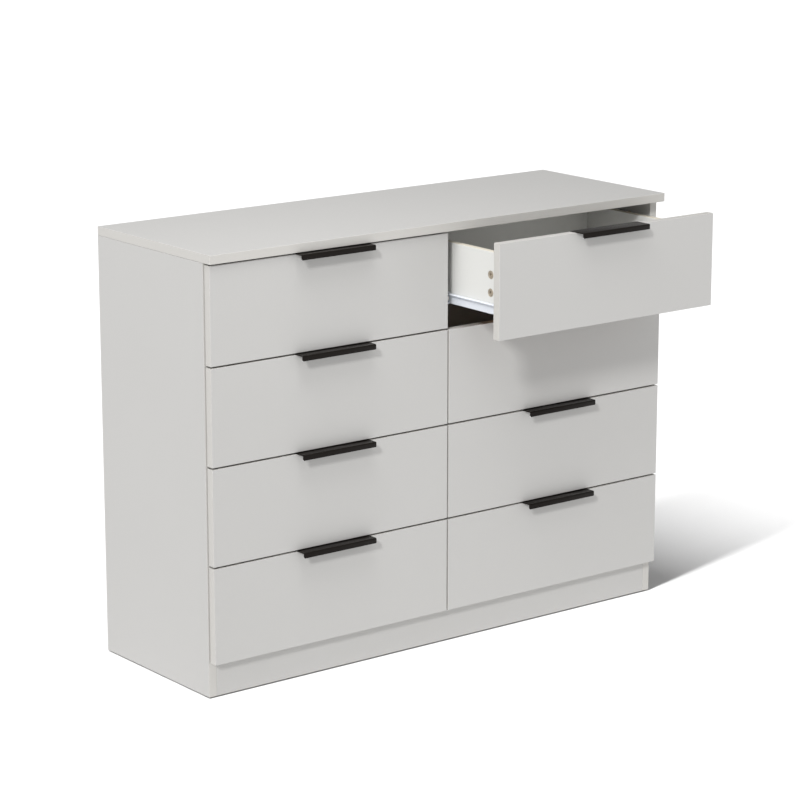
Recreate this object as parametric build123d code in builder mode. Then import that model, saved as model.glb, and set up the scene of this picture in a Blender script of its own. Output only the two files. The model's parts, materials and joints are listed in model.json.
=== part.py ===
from build123d import *
import os

# A flat-pack chest of drawers: two columns of four drawers with overlay fronts, on roller runners.
# Millimetres, +Z up. The origin is on the floor at the centre of the top panel's footprint, the
# drawers open towards -Y, and left and right are as seen from the front. The top right drawer
# stands part way open at rest.

# --- Driving dimensions ---
WIDTH = 1025.0
DEPTH = 350.0
HEIGHT = 780.0
ROWS = 4
BOARD = 16.0  # melamine-faced chipboard of the carcass and the fronts
DRAWER_BOARD = 12.0  # sides and back of each drawer box
HARDBOARD = 3.0  # back panel and drawer bottoms
EDGE_ROUND = 0.8  # radius that the edge banding is scraped to
PLINTH_HEIGHT = 62.0
TOP_OVERHANG = 5.0  # top panel stands this far in front of the drawer fronts
FRONT_INSET = 2.5  # fronts stop this far short of the side panels' outer faces
FRONT_GAP = 3.0
BUFFER = 1.0  # between a closed front and the carcass
BACK_RECESS = 9.0  # from the carcass's back edges to the back panel
GROOVE_DEPTH = 6.0
GROOVE_PLAY = 0.4  # groove wider than the hardboard in it
OPENED = 139.0  # how far the top right drawer stands open
TRAVEL = 225.0  # full travel of each drawer

# --- Drawer boxes ---
DRAWER_LENGTH = 300.0
SIDE_HEIGHT = 110.0
SIDE_LIFT = 40.0  # side's bottom edge above the front's bottom edge
BOTTOM_LIFT = 12.0  # drawer bottom above the sides' bottom edges
RUNNER_SPACE = 12.5  # between a drawer side and the carcass

# --- Pulls, folded from sheet and hooked over the top edge of each front ---
PULL_WIDTH = 158.0
PULL_SHEET = 1.5
PULL_REACH = 20.0  # in front of the drawer front
PULL_LIP = 9.0
PULL_LEG = 24.0  # down the back of the front
PULL_SCREW_SPACING = 128.0
PULL_SCREW_DROP = 14.0

# --- Roller runners, folded from steel strip ---
STEEL = 1.2
WEB_HEIGHT = 18.0
FLANGE = 8.0
CHANNEL_BASE = -0.45  # channel's underside from the drawer side's bottom edge
CHANNEL_HEIGHT = 21.15
CHANNEL_FLANGE = 9.5
ROLLER_RADIUS = 7.7
ROLLER_WIDTH = 6.0
ROLLER_RISE = 8.75  # roller centre above the side's bottom edge
ROLLER_INSET = 2.5  # roller's near face from the drawer side
ROLLER_END = 10.0  # roller centre from its runner's end
AXLE_RADIUS = 2.0
STOP_HEIGHT = 4.0
STOP_PLAY = 0.6  # between the stop and the drawer's roller at full travel

# --- Cam joints and dowels ---
CAM_RADIUS = 7.5
CAM_DEPTH = 12.5
DRAWER_CAM_DEPTH = 10.0
CAM_RIM = 0.5
CAM_DRIVE = 9.0  # length of the cross drive in a cam's face
CAM_SETBACK = 34.0  # cam centre from the joint
DRAWER_CAM_SETBACK = 31.0
BOLT_RADIUS = 3.0
BOLT_NECK_RADIUS = 2.5
BOLT_BITE = 11.0
PLAY = 0.1  # of every bolt, cam, dowel and screw in its bore
DOWEL_RADIUS = 4.0
DOWEL_LENGTH = 30.0
DOWEL_BITE = 10.0  # in the first board; the rest is in the second
SCREW_RADIUS = 1.75
SCREW_BITE = 7.0
HEAD_RADIUS = 3.5
HEAD_HEIGHT = 2.2
LONG_SCREW_BITE = 34.0
CORNER_SCREW_BITE = 20.0

# --- Places that follow from the dimensions ---
FRONT_BACK_Y = -DEPTH / 2 + TOP_OVERHANG + BOARD  # inner face of a closed front
CARCASS_Y = FRONT_BACK_Y + BUFFER  # front edges of the carcass boards
REAR_Y = DEPTH / 2
BACK_Y = REAR_Y - BACK_RECESS - HARDBOARD  # front face of the back panel
BACK_MID_Y = BACK_Y + HARDBOARD / 2
PLINTH_MID_Y = CARCASS_Y + BOARD / 2
FOOT_Y = CARCASS_Y + BOARD
UNDER_TOP = HEIGHT - BOARD
DECK_MID_Z = PLINTH_HEIGHT + BOARD / 2
DECK_TOP = PLINTH_HEIGHT + BOARD
INNER_X = WIDTH / 2 - BOARD  # inner faces of the side panels
DIVIDER_X = BOARD / 2
SIDE_MID_X = WIDTH / 2 - BOARD / 2
SIDE_MID_XS = (-SIDE_MID_X, SIDE_MID_X)
UPRIGHT_XS = (-SIDE_MID_X, 0, SIDE_MID_X)

GROOVE = HARDBOARD + GROOVE_PLAY
TONGUE = GROOVE_DEPTH - GROOVE_PLAY  # hardboard's edge in its groove
BACK_WIDTH = 2 * (INNER_X + TONGUE)
BACK_HEIGHT = UNDER_TOP - PLINTH_HEIGHT + TONGUE

CAM_Z = UNDER_TOP - CAM_SETBACK
CAM_YS = (CARCASS_Y + 57, CARCASS_Y + 263)
DECK_CAM_XS = (CAM_SETBACK - INNER_X, INNER_X - CAM_SETBACK)
DOWEL_REST = DOWEL_LENGTH - DOWEL_BITE
DOWEL_YS = (CARCASS_Y + 25, CARCASS_Y + 231)
PLINTH_DOWEL_ZS = (18, 44)
DECK_SCREW_YS = (CARCASS_Y + 40, CARCASS_Y + 150, CARCASS_Y + 250)
BACK_SCREW_XS = (-320, -160, 160, 320)
BACK_SCREW_ZS = (180, 400, 620)
BACK_SCREW_POINTS = [(0, BACK_Y, z) for z in BACK_SCREW_ZS]
BACK_SCREW_POINTS += [(x, BACK_Y, DECK_MID_Z) for x in BACK_SCREW_XS]

FRONT_WIDTH = (WIDTH - 2 * FRONT_INSET - FRONT_GAP) / 2
FRONT_HEIGHT = (UNDER_TOP - PLINTH_HEIGHT) / ROWS - FRONT_GAP
FRONT_MID_X = (FRONT_GAP + FRONT_WIDTH) / 2
BOX_MID_X = (DIVIDER_X + INNER_X) / 2
BOX_WIDTH = INNER_X - DIVIDER_X - 2 * RUNNER_SPACE
BOX_INNER_WIDTH = BOX_WIDTH - 2 * DRAWER_BOARD
BOX_INNER_LENGTH = DRAWER_LENGTH - DRAWER_BOARD
FRONT_ZS = [UNDER_TOP - (row + 1) * (FRONT_HEIGHT + FRONT_GAP) for row in range(ROWS)]
SIDE_ZS = [z + SIDE_LIFT for z in FRONT_ZS]
DRAWER_CAM_ZS = (36.5, 68.5)  # above the side's bottom edge
CORNER_SCREW_ZS = (30, 85)
RISER_SCREW_YS = (40, 250)  # from the front's inner face

RUNNER_FRONT_Y = CARCASS_Y + 2
RUNNER_SCREW_YS = (CARCASS_Y + 37, CARCASS_Y + 229)
FIXED_ROLLER_Y = RUNNER_FRONT_Y + ROLLER_END
STOP_Y = FRONT_BACK_Y + DRAWER_LENGTH - ROLLER_END - TRAVEL - ROLLER_RADIUS - STOP_PLAY

COLUMNS = (("left", -1), ("right", 1))
LEFT_AND_RIGHT = (-1, 1)
RIGHTWARD = (1, 0, 0)
LEFTWARD = (-1, 0, 0)
BACKWARD = (0, 1, 0)
FORWARD = (0, -1, 0)
UP = (0, 0, 1)
DOWN = (0, 0, -1)

os.makedirs("parts", exist_ok=True)


# --- Helpers ---
def write(piece, label):
    """Label a finished piece and write it as its own STEP file."""
    piece.label = label
    export_step(piece, f"parts/{label}.step")


def board(width, depth, height, corner, edge_round=0.0):
    """A board from its sizes along X, Y and Z and its left, front, bottom corner."""
    x, y, z = corner
    with BuildPart() as piece:
        with BuildSketch(Plane.XY.offset(z)):
            with Locations((x + width / 2, y + depth / 2)):
                Rectangle(width, depth)
        extrude(amount=height)
        if edge_round:
            fillet(piece.edges(), radius=edge_round)
    return piece.part


def bore(points, direction, radius, depth):
    """Drill blind holes into the open part, from points on its surface along a direction."""
    outward = Vector(*direction) * -1
    with Locations([Plane(origin=point, z_dir=outward) for point in points]):
        Hole(radius=radius + PLAY, depth=depth + PLAY)


def groove(width, depth, height, middle):
    """Mill a straight groove into the open part, centred on a point of its surface."""
    with Locations(middle):
        Box(width, depth, height, mode=Mode.SUBTRACT)


def folded(points, plane, length, sheet):
    """Sheet metal folded along a centre line on a plane, and as long as its normal is drawn out."""
    with BuildPart() as piece:
        with BuildSketch(plane):
            with BuildLine():
                FilletPolyline(*points, radius=sheet)
            trace(line_width=sheet)
        extrude(amount=length)
    return piece.part


def rod(start, direction, radius, length):
    """A round pin or dowel with broken ends."""
    with BuildPart() as piece:
        with BuildSketch(Plane(origin=start, z_dir=direction)):
            Circle(radius)
        extrude(amount=length)
        chamfer(piece.edges().filter_by(GeomType.CIRCLE), length=radius / 8)
    return piece.part


def screw(seat, direction, length):
    """A pan-head screw with a cross drive, seated at a point and driven along a direction."""
    head = Plane(origin=seat, z_dir=Vector(*direction) * -1)
    drive_width = HEAD_RADIUS / 4
    with BuildPart() as piece:
        with BuildSketch(head):
            Circle(HEAD_RADIUS)
        extrude(amount=HEAD_HEIGHT)
        fillet(piece.edges().group_by(Axis(seat, direction))[0], radius=HEAD_HEIGHT / 2)
        with BuildSketch(head.offset(HEAD_HEIGHT)):
            Rectangle(HEAD_RADIUS, drive_width)
            Rectangle(drive_width, HEAD_RADIUS)
        extrude(amount=-HEAD_HEIGHT / 2, mode=Mode.SUBTRACT)
        with BuildSketch(head):
            Circle(SCREW_RADIUS)
        extrude(amount=-length)
    return piece.part


def cam(middle, outward, depth):
    """A cam disc just below the face of its board, with a cross drive round a blind centre."""
    face = Plane(origin=middle, z_dir=outward).offset(-PLAY)
    with BuildPart() as piece:
        with BuildSketch(face):
            Circle(CAM_RADIUS)
        extrude(amount=PLAY - depth)
        chamfer(piece.edges().group_by(Axis(middle, outward))[-1], length=CAM_RIM)
        with BuildSketch(face):
            Rectangle(CAM_DRIVE, CAM_DRIVE / 5)
            Rectangle(CAM_DRIVE / 5, CAM_DRIVE)
            Circle(CAM_DRIVE / 4)
        extrude(amount=-CAM_DRIVE / 3, mode=Mode.SUBTRACT)
    return piece.part


def bolt(start, direction, setback):
    """A connecting bolt: its thread bites along the direction, its neck runs back to its cam."""
    thread = Plane(origin=start, z_dir=direction)
    with BuildPart() as piece:
        with BuildSketch(thread):
            Circle(BOLT_RADIUS)
        extrude(amount=BOLT_BITE)
        with BuildSketch(thread):
            Circle(BOLT_NECK_RADIUS)
        extrude(amount=CAM_RADIUS - setback)
    return piece.part


# --- Carcass boards ---
with BuildPart() as top_panel:
    add(board(WIDTH, DEPTH, BOARD, (-WIDTH / 2, -DEPTH / 2, UNDER_TOP), EDGE_ROUND))
    bore([(x, y, UNDER_TOP) for x in UPRIGHT_XS for y in CAM_YS], UP, BOLT_RADIUS, BOLT_BITE)
    bore([(x, y, UNDER_TOP) for x in SIDE_MID_XS for y in DOWEL_YS], UP, DOWEL_RADIUS, DOWEL_BITE)
    groove(BACK_WIDTH + 2 * PLAY, GROOVE, 2 * GROOVE_DEPTH, (0, BACK_MID_Y, UNDER_TOP))
write(top_panel.part, "top_panel")

for name, side in COLUMNS:
    inner_x = side * INNER_X
    middle_x = side * SIDE_MID_X
    outward = (side, 0, 0)
    corner = (middle_x - BOARD / 2, CARCASS_Y, 0)
    with BuildPart() as side_panel:
        add(board(BOARD, REAR_Y - CARCASS_Y, UNDER_TOP, corner, EDGE_ROUND))
        bore([(inner_x, y, CAM_Z) for y in CAM_YS], outward, CAM_RADIUS, CAM_DEPTH)
        bore([(middle_x, y, UNDER_TOP) for y in CAM_YS], DOWN, BOLT_RADIUS, CAM_SETBACK)
        bore([(middle_x, y, UNDER_TOP) for y in DOWEL_YS], DOWN, DOWEL_RADIUS, DOWEL_REST)
        bore([(inner_x, y, DECK_MID_Z) for y in CAM_YS], outward, BOLT_RADIUS, BOLT_BITE)
        bore([(inner_x, y, DECK_MID_Z) for y in DOWEL_YS], outward, DOWEL_RADIUS, DOWEL_BITE)
        bore([(inner_x, PLINTH_MID_Y, z) for z in PLINTH_DOWEL_ZS], outward, DOWEL_RADIUS, DOWEL_BITE)
        bore([(inner_x, y, z + ROLLER_RISE) for y in RUNNER_SCREW_YS for z in SIDE_ZS], outward,
             SCREW_RADIUS, SCREW_BITE)
        groove(2 * GROOVE_DEPTH, GROOVE, UNDER_TOP - PLINTH_HEIGHT,
               (inner_x, BACK_MID_Y, (UNDER_TOP + PLINTH_HEIGHT) / 2))
    write(side_panel.part, f"{name}_side_panel")

with BuildPart() as centre_divider:
    corner = (-DIVIDER_X, CARCASS_Y, DECK_TOP)
    add(board(BOARD, BACK_Y - CARCASS_Y, UNDER_TOP - DECK_TOP, corner, EDGE_ROUND))
    bore([(-DIVIDER_X, y, CAM_Z) for y in CAM_YS], RIGHTWARD, CAM_RADIUS, CAM_DEPTH)
    bore([(0, y, UNDER_TOP) for y in CAM_YS], DOWN, BOLT_RADIUS, CAM_SETBACK)
    bore([(0, y, DECK_TOP) for y in DECK_SCREW_YS], UP, SCREW_RADIUS, LONG_SCREW_BITE)
    bore([(0, BACK_Y, z) for z in BACK_SCREW_ZS], FORWARD, SCREW_RADIUS, SCREW_BITE)
    for side in LEFT_AND_RIGHT:
        bore([(side * DIVIDER_X, y, z + ROLLER_RISE) for y in RUNNER_SCREW_YS for z in SIDE_ZS],
             (-side, 0, 0), SCREW_RADIUS, SCREW_BITE)
write(centre_divider.part, "centre_divider")

with BuildPart() as bottom_panel:
    add(board(2 * INNER_X, BACK_Y - CARCASS_Y, BOARD, (-INNER_X, CARCASS_Y, PLINTH_HEIGHT), EDGE_ROUND))
    bore([(x, y, PLINTH_HEIGHT) for x in DECK_CAM_XS for y in CAM_YS], UP, CAM_RADIUS, CAM_DEPTH)
    bore([(0, y, PLINTH_HEIGHT) for y in DECK_SCREW_YS], UP, HEAD_RADIUS, HEAD_HEIGHT)
    bore([(0, y, PLINTH_HEIGHT) for y in DECK_SCREW_YS], UP, SCREW_RADIUS, BOARD)
    bore([(x, BACK_Y, DECK_MID_Z) for x in BACK_SCREW_XS], FORWARD, SCREW_RADIUS, SCREW_BITE)
    for side in LEFT_AND_RIGHT:
        inward = (-side, 0, 0)
        end_x = side * INNER_X
        bore([(end_x, y, DECK_MID_Z) for y in CAM_YS], inward, BOLT_RADIUS, CAM_SETBACK)
        bore([(end_x, y, DECK_MID_Z) for y in DOWEL_YS], inward, DOWEL_RADIUS, DOWEL_REST)
write(bottom_panel.part, "bottom_panel")

with BuildPart() as plinth:
    add(board(2 * INNER_X, BOARD, PLINTH_HEIGHT, (-INNER_X, CARCASS_Y, 0), EDGE_ROUND))
    bore([(0, FOOT_Y, z) for z in PLINTH_DOWEL_ZS], FORWARD, DOWEL_RADIUS, DOWEL_BITE)
    for side in LEFT_AND_RIGHT:
        bore([(side * INNER_X, PLINTH_MID_Y, z) for z in PLINTH_DOWEL_ZS], (-side, 0, 0),
             DOWEL_RADIUS, DOWEL_REST)
write(plinth.part, "plinth")

with BuildPart() as centre_foot:
    add(board(BOARD, BACK_Y - FOOT_Y, PLINTH_HEIGHT, (-DIVIDER_X, FOOT_Y, 0)))
    bore([(0, FOOT_Y, z) for z in PLINTH_DOWEL_ZS], BACKWARD, DOWEL_RADIUS, DOWEL_REST)
write(centre_foot.part, "centre_foot")

with BuildPart() as back_panel:
    add(board(BACK_WIDTH, HARDBOARD, BACK_HEIGHT, (-BACK_WIDTH / 2, BACK_Y, PLINTH_HEIGHT)))
    bore(BACK_SCREW_POINTS, BACKWARD, SCREW_RADIUS, HARDBOARD)
write(back_panel.part, "back_panel")

# --- Carcass fasteners ---
with BuildPart() as dowels:
    for z in PLINTH_DOWEL_ZS:
        add(rod((0, FOOT_Y - DOWEL_BITE, z), BACKWARD, DOWEL_RADIUS, DOWEL_LENGTH))
    for side in LEFT_AND_RIGHT:
        inward = (-side, 0, 0)
        end_x = side * (INNER_X + DOWEL_BITE)
        for z in PLINTH_DOWEL_ZS:
            add(rod((end_x, PLINTH_MID_Y, z), inward, DOWEL_RADIUS, DOWEL_LENGTH))
        for y in DOWEL_YS:
            add(rod((end_x, y, DECK_MID_Z), inward, DOWEL_RADIUS, DOWEL_LENGTH))
            add(rod((side * SIDE_MID_X, y, UNDER_TOP + DOWEL_BITE), DOWN, DOWEL_RADIUS, DOWEL_LENGTH))
write(dowels.part, "dowels")

with BuildPart() as carcass_fittings:
    for y in CAM_YS:
        for x in UPRIGHT_XS:
            add(bolt((x, y, UNDER_TOP), UP, CAM_SETBACK))
        add(cam((-DIVIDER_X, y, CAM_Z), LEFTWARD, CAM_DEPTH))
        for side in LEFT_AND_RIGHT:
            add(cam((side * INNER_X, y, CAM_Z), (-side, 0, 0), CAM_DEPTH))
            add(cam((side * (INNER_X - CAM_SETBACK), y, PLINTH_HEIGHT), DOWN, CAM_DEPTH))
            add(bolt((side * INNER_X, y, DECK_MID_Z), (side, 0, 0), CAM_SETBACK))
    for y in DECK_SCREW_YS:
        add(screw((0, y, PLINTH_HEIGHT + HEAD_HEIGHT), UP, BOARD - HEAD_HEIGHT + LONG_SCREW_BITE))
    for x, _, z in BACK_SCREW_POINTS:
        add(screw((x, BACK_Y + HARDBOARD, z), FORWARD, HARDBOARD + SCREW_BITE))
    for _, column in COLUMNS:
        for out in LEFT_AND_RIGHT:
            web_x = column * BOX_MID_X + out * (BOX_WIDTH / 2 + RUNNER_SPACE - STEEL)
            for y in RUNNER_SCREW_YS:
                for z in SIDE_ZS:
                    add(screw((web_x, y, z + ROLLER_RISE), (out, 0, 0), STEEL + SCREW_BITE))
write(carcass_fittings.part, "carcass_fittings")


# --- Roller runners ---
def roller(face_x, out, y, z):
    """A nylon roller for a rivet, beside a drawer side's outer face."""
    with BuildPart() as piece:
        with BuildSketch(Plane(origin=(face_x + out * ROLLER_INSET, y, z), z_dir=(out, 0, 0))):
            Circle(ROLLER_RADIUS)
        extrude(amount=ROLLER_WIDTH)
        fillet(piece.edges().filter_by(GeomType.CIRCLE), radius=ROLLER_WIDTH / 8)
        bore([(face_x + out * (ROLLER_INSET + ROLLER_WIDTH), y, z)], (-out, 0, 0), AXLE_RADIUS,
             ROLLER_WIDTH)
    return piece.part


def channel(face_x, out, z):
    """A carcass runner: a channel that faces the drawer, with a stop for the drawer's roller."""
    rear = Plane(origin=(face_x, RUNNER_FRONT_Y + DRAWER_LENGTH, z), x_dir=(out, 0, 0),
                 z_dir=(0, -out, 0))
    lip_x = RUNNER_SPACE - CHANNEL_FLANGE
    web_x = RUNNER_SPACE - STEEL / 2
    low = CHANNEL_BASE + STEEL / 2
    high = low + CHANNEL_HEIGHT - STEEL
    stop_x = face_x + out * (RUNNER_SPACE - CHANNEL_FLANGE / 2)
    screw_x = face_x + out * (RUNNER_SPACE - STEEL)
    with BuildPart() as piece:
        add(folded([(lip_x, low), (web_x, low), (web_x, high), (lip_x, high)], rear,
                   out * DRAWER_LENGTH, STEEL))
        with Locations((stop_x, STOP_Y, z + low + STOP_HEIGHT / 2)):
            Box(CHANNEL_FLANGE - 4 * STEEL, STEEL, STOP_HEIGHT + STEEL)
        bore([(screw_x, y, z + ROLLER_RISE) for y in RUNNER_SCREW_YS], (out, 0, 0), SCREW_RADIUS,
             STEEL)
    return piece.part


def riser(face_x, out, y, z):
    """A drawer runner: it holds the side's bottom edge and stands up beside it, flanged out."""
    rear = Plane(origin=(face_x, y + DRAWER_LENGTH, z), x_dir=(out, 0, 0), z_dir=(0, -out, 0))
    half = STEEL / 2
    screw_x = face_x - out * DRAWER_BOARD / 2
    with BuildPart() as piece:
        add(folded([(-DRAWER_BOARD, -half), (half, -half), (half, WEB_HEIGHT - half),
                    (STEEL + FLANGE, WEB_HEIGHT - half)], rear, out * DRAWER_LENGTH, STEEL))
        bore([(screw_x, y + place, z - STEEL) for place in RISER_SCREW_YS], UP, SCREW_RADIUS, STEEL)
    return piece.part


channels = []
fixed_rollers = []
for _, column in COLUMNS:
    for out in LEFT_AND_RIGHT:
        face_x = column * BOX_MID_X + out * BOX_WIDTH / 2
        web_x = face_x + out * (RUNNER_SPACE - STEEL)
        for z in SIDE_ZS:
            axle = (web_x, FIXED_ROLLER_Y, z + ROLLER_RISE)
            channels.append(channel(face_x, out, z))
            channels.append(rod(axle, (-out, 0, 0), AXLE_RADIUS, RUNNER_SPACE - STEEL - ROLLER_INSET))
            fixed_rollers.append(roller(face_x, out, FIXED_ROLLER_Y, z + ROLLER_RISE))
write(Compound(children=channels), "carcass_runners")
write(Compound(children=fixed_rollers), "carcass_rollers")


# --- Drawers ---
def drawer_front(middle_x, box_x, y, z):
    """An overlay front, bored for the box's bolts and the pull and grooved for the bottom."""
    bolt_xs = [box_x + out * (BOX_WIDTH - DRAWER_BOARD) / 2 for out in LEFT_AND_RIGHT]
    bolt_zs = [z + SIDE_LIFT + rise for rise in DRAWER_CAM_ZS]
    pull_xs = [middle_x + out * PULL_SCREW_SPACING / 2 for out in LEFT_AND_RIGHT]
    pull_z = z + FRONT_HEIGHT - PULL_SCREW_DROP
    groove_z = z + SIDE_LIFT + BOTTOM_LIFT + HARDBOARD / 2
    corner = (middle_x - FRONT_WIDTH / 2, y - BOARD, z)
    with BuildPart() as piece:
        add(board(FRONT_WIDTH, BOARD, FRONT_HEIGHT, corner, EDGE_ROUND))
        bore([(x, y, rise) for x in bolt_xs for rise in bolt_zs], FORWARD, BOLT_RADIUS, BOLT_BITE)
        bore([(x, y, pull_z) for x in pull_xs], FORWARD, SCREW_RADIUS, SCREW_BITE)
        groove(BOX_INNER_WIDTH + 2 * GROOVE_DEPTH, 2 * GROOVE_DEPTH, GROOVE, (box_x, y, groove_z))
    return piece.part


def drawer_pull(middle_x, y, z):
    """An edge pull: a plate over the front's top edge, a lip before it and a leg behind it."""
    half = PULL_SHEET / 2
    lip_x = BOARD + PULL_REACH - half
    end = Plane(origin=(middle_x + PULL_WIDTH / 2, y, z), x_dir=FORWARD, z_dir=LEFTWARD)
    screw_xs = [middle_x + out * PULL_SCREW_SPACING / 2 for out in LEFT_AND_RIGHT]
    with BuildPart() as piece:
        add(folded([(-half, -PULL_LEG), (-half, half), (lip_x, half), (lip_x, -PULL_LIP)], end,
                   PULL_WIDTH, PULL_SHEET))
        bore([(x, y + PULL_SHEET, z - PULL_SCREW_DROP) for x in screw_xs], FORWARD, SCREW_RADIUS,
             PULL_SHEET)
    return piece.part


def drawer_side(face_x, out, y, z):
    """A box side: cams in its outer face, bolts in its front end, a groove inside."""
    middle_x = face_x - out * DRAWER_BOARD / 2
    inner_x = face_x - out * DRAWER_BOARD
    inward = (-out, 0, 0)
    cam_zs = [z + rise for rise in DRAWER_CAM_ZS]
    corner = (middle_x - DRAWER_BOARD / 2, y, z)
    corner_y = y + DRAWER_LENGTH - DRAWER_BOARD / 2
    with BuildPart() as piece:
        add(board(DRAWER_BOARD, DRAWER_LENGTH, SIDE_HEIGHT, corner, EDGE_ROUND))
        bore([(face_x, y + DRAWER_CAM_SETBACK, rise) for rise in cam_zs], inward, CAM_RADIUS,
             DRAWER_CAM_DEPTH)
        bore([(middle_x, y, rise) for rise in cam_zs], BACKWARD, BOLT_RADIUS, DRAWER_CAM_SETBACK)
        bore([(face_x, corner_y, z + rise) for rise in CORNER_SCREW_ZS], inward, SCREW_RADIUS,
             DRAWER_BOARD)
        bore([(middle_x, y + place, z) for place in RISER_SCREW_YS], UP, SCREW_RADIUS, SCREW_BITE)
        groove(2 * GROOVE_DEPTH, DRAWER_LENGTH, GROOVE,
               (inner_x, y + DRAWER_LENGTH / 2, z + BOTTOM_LIFT + HARDBOARD / 2))
    return piece.part


def drawer_back(box_x, y, z):
    """The box's back, between the sides: screwed at its ends and grooved for the bottom."""
    back_y = y + BOX_INNER_LENGTH
    corner = (box_x - BOX_INNER_WIDTH / 2, back_y, z)
    with BuildPart() as piece:
        add(board(BOX_INNER_WIDTH, DRAWER_BOARD, SIDE_HEIGHT, corner, EDGE_ROUND))
        for out in LEFT_AND_RIGHT:
            end_x = box_x + out * BOX_INNER_WIDTH / 2
            bore([(end_x, back_y + DRAWER_BOARD / 2, z + rise) for rise in CORNER_SCREW_ZS],
                 (-out, 0, 0), SCREW_RADIUS, CORNER_SCREW_BITE)
        groove(BOX_INNER_WIDTH, 2 * GROOVE_DEPTH, GROOVE,
               (box_x, back_y, z + BOTTOM_LIFT + HARDBOARD / 2))
    return piece.part


def drawer_fittings(middle_x, box_x, y, z):
    """Cams and bolts that hold the front, and the screws of the pull, the corners and the runners."""
    side_z = z + SIDE_LIFT
    with BuildPart() as pieces:
        for out in LEFT_AND_RIGHT:
            face_x = box_x + out * BOX_WIDTH / 2
            side_x = face_x - out * DRAWER_BOARD / 2
            corner_y = y + DRAWER_LENGTH - DRAWER_BOARD / 2
            for rise in DRAWER_CAM_ZS:
                add(cam((face_x, y + DRAWER_CAM_SETBACK, side_z + rise), (out, 0, 0), DRAWER_CAM_DEPTH))
                add(bolt((side_x, y, side_z + rise), FORWARD, DRAWER_CAM_SETBACK))
            for rise in CORNER_SCREW_ZS:
                add(screw((face_x, corner_y, side_z + rise), (-out, 0, 0),
                          DRAWER_BOARD + CORNER_SCREW_BITE))
            for place in RISER_SCREW_YS:
                add(screw((side_x, y + place, side_z - STEEL), UP, STEEL + SCREW_BITE))
            add(screw((middle_x + out * PULL_SCREW_SPACING / 2, y + PULL_SHEET,
                       z + FRONT_HEIGHT - PULL_SCREW_DROP), FORWARD, PULL_SHEET + SCREW_BITE))
    return pieces.part


def drawer_runners(box_x, y, z):
    """Both drawer runners, each with a roller on a rivet at its rear end."""
    pieces = []
    roller_y = y + DRAWER_LENGTH - ROLLER_END
    for out in LEFT_AND_RIGHT:
        face_x = box_x + out * BOX_WIDTH / 2
        axle = (face_x + out * STEEL, roller_y, z + ROLLER_RISE)
        pieces.append(riser(face_x, out, y, z))
        pieces.append(rod(axle, (out, 0, 0), AXLE_RADIUS, ROLLER_INSET + ROLLER_WIDTH - STEEL))
        pieces.append(roller(face_x, out, roller_y, z + ROLLER_RISE))
    return Compound(children=pieces)


for name, column in COLUMNS:
    middle_x = column * FRONT_MID_X
    box_x = column * BOX_MID_X
    for row, z in enumerate(FRONT_ZS, start=1):
        drawer = f"{name}_drawer_{row}"
        y = FRONT_BACK_Y
        if drawer == "right_drawer_1":
            y -= OPENED
        side_z = z + SIDE_LIFT
        sides = [drawer_side(box_x + out * BOX_WIDTH / 2, out, y, side_z) for out in LEFT_AND_RIGHT]
        bottom = board(BOX_INNER_WIDTH + 2 * TONGUE, BOX_INNER_LENGTH + 2 * TONGUE, HARDBOARD,
                       (box_x - BOX_INNER_WIDTH / 2 - TONGUE, y - TONGUE, side_z + BOTTOM_LIFT))
        write(drawer_front(middle_x, box_x, y, z), f"{drawer}_front")
        write(drawer_pull(middle_x, y, z + FRONT_HEIGHT), f"{drawer}_pull")
        write(Compound(children=[*sides, drawer_back(box_x, y, side_z)]), f"{drawer}_box")
        write(bottom, f"{drawer}_bottom")
        write(drawer_runners(box_x, y, side_z), f"{drawer}_runners")
        write(drawer_fittings(middle_x, box_x, y, z), f"{drawer}_fittings")
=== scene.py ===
"""A chest of eight drawers in white melamine: finishes, pulls, fasteners and a plain studio."""
import json
import math

import bmesh
import bpy
from mathutils import Matrix, Vector

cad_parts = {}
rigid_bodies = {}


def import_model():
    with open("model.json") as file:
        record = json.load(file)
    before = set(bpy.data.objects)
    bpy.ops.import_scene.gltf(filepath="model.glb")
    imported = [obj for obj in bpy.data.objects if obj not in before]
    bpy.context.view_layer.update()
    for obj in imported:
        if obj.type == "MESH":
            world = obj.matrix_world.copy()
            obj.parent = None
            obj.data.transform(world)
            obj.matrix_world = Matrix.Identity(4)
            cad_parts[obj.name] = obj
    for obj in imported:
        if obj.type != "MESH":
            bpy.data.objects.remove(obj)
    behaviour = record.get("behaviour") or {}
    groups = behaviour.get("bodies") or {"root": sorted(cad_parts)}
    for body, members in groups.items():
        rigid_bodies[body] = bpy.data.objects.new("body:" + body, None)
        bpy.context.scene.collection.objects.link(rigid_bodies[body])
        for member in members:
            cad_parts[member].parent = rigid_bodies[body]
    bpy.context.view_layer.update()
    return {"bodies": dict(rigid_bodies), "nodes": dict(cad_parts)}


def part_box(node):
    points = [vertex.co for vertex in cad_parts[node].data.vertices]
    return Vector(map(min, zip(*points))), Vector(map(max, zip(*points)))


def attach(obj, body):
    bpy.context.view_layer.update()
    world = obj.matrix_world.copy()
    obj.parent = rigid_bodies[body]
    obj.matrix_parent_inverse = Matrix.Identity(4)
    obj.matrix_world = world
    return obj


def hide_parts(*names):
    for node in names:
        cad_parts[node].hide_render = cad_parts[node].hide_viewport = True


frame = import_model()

bl_info = {
    "name": "Chest of drawers",
    "version": (1, 0, 0),
    "blender": (4, 5, 0),
    "location": "3D View > Sidebar > Dresser",
    "description": "Finishes, pulls, fasteners and a studio for a flat-pack chest of drawers",
    "category": "Object",
}

MM = 0.001
CARCASS = "carcass"
DRAWERS = [body for body in frame["bodies"] if body != CARCASS]

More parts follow.
